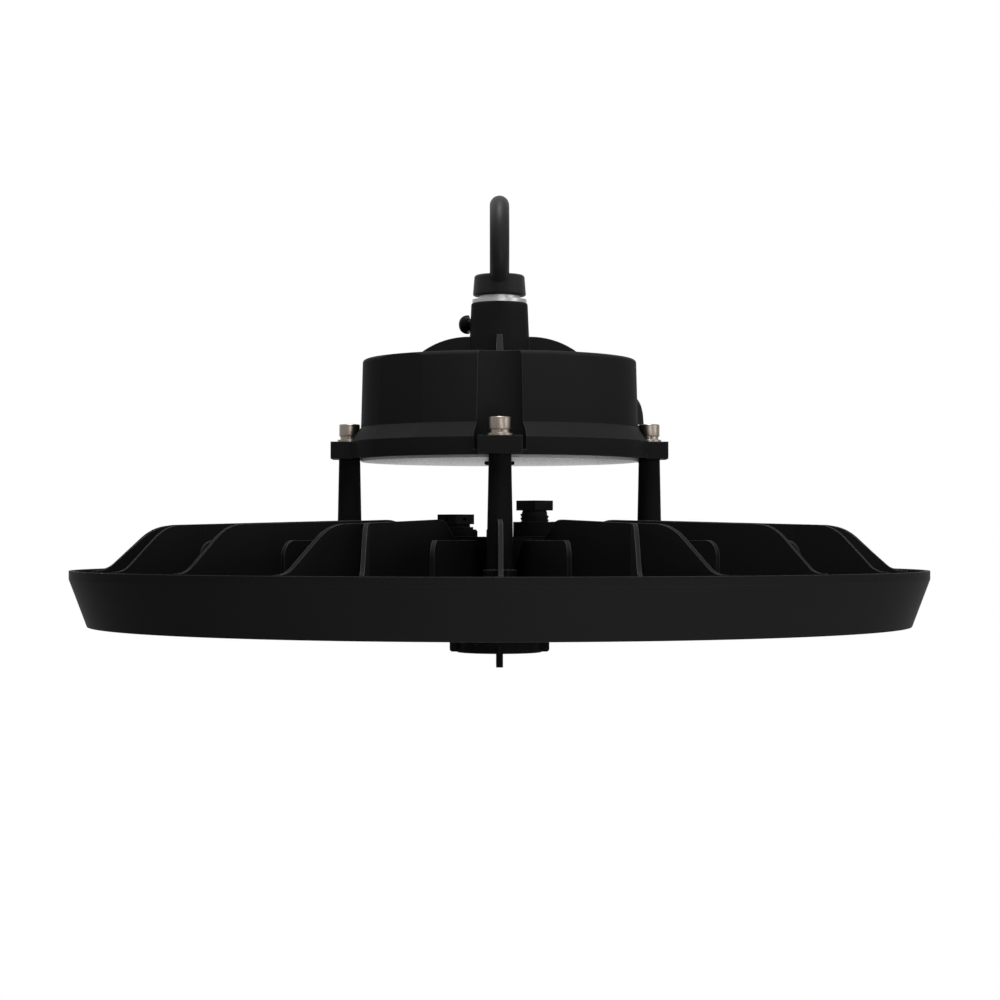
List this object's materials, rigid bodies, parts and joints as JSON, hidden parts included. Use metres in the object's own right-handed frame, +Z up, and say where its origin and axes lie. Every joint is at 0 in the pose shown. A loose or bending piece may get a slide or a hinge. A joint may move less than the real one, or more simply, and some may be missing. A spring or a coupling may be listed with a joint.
{
  "type": "high bay light",
  "caption": "Round finned high bay light with a driver housing on posts, a hanging eye, and a lensed lamp with a capped sensor socket below.",
  "frame": {"origin": "centre of the hanging eye's hole", "axes": "+Z up, out of the top of the eye; the pictured side faces -Y; +X to the right of the picture"},
  "size_m": [0.35, 0.35, 0.1941],
  "materials": {
    "black_gloss_coat": "gloss powder coat on a forged eye",
    "black_casting": "satin black powder coat on a die casting",
    "zinc": "bright zinc plate",
    "stainless": "turned stainless steel",
    "black_screw": "black oxide screw",
    "grey_sheet": "speckled galvanised sheet",
    "black_rubber": "matt rubber",
    "grey_silicone": "matt silicone",
    "black_plastic": "fine-grained black plastic",
    "driver_can": "plain aluminium can",
    "terminal_plastic": "off-white plastic",
    "board_white": "white solder mask on aluminium",
    "led_phosphor": "yellow phosphor",
    "clear_lens": "clear polycarbonate"
  },
  "bodies": {
    "root": {"hanging_eye": "black_gloss_coat", "eye_spring_washer": "zinc", "eye_flat_washer": "zinc", "eye_lock_screw": "black_screw", "driver_housing": "black_casting", "housing_base_plate": "grey_sheet", "housing_gasket": "grey_silicone", "plate_screws": "stainless", "lead_grommet": "black_rubber", "led_driver": "driver_can", "driver_screws": "stainless", "terminal_block": "terminal_plastic", "post_screws": "stainless", "post_spring_washers": "stainless", "post_flat_washers": "stainless", "gland_washer": "black_rubber", "gland_body": "black_plastic", "gland_nut": "black_plastic", "gland_seal": "black_rubber", "heat_sink": "black_casting", "blanking_plug": "black_plastic", "breather_seal": "black_rubber", "breather_plug": "black_plastic", "lead_inlet_seal": "black_rubber", "led_board": "board_white", "led_chips": "led_phosphor", "lens_plate": "clear_lens", "lens_seal": "grey_silicone", "lens_screws": "stainless", "sensor_socket": "black_plastic", "socket_seal": "black_rubber", "socket_nut": "black_plastic", "socket_cap": "black_plastic"}
  },
  "joints": []
}
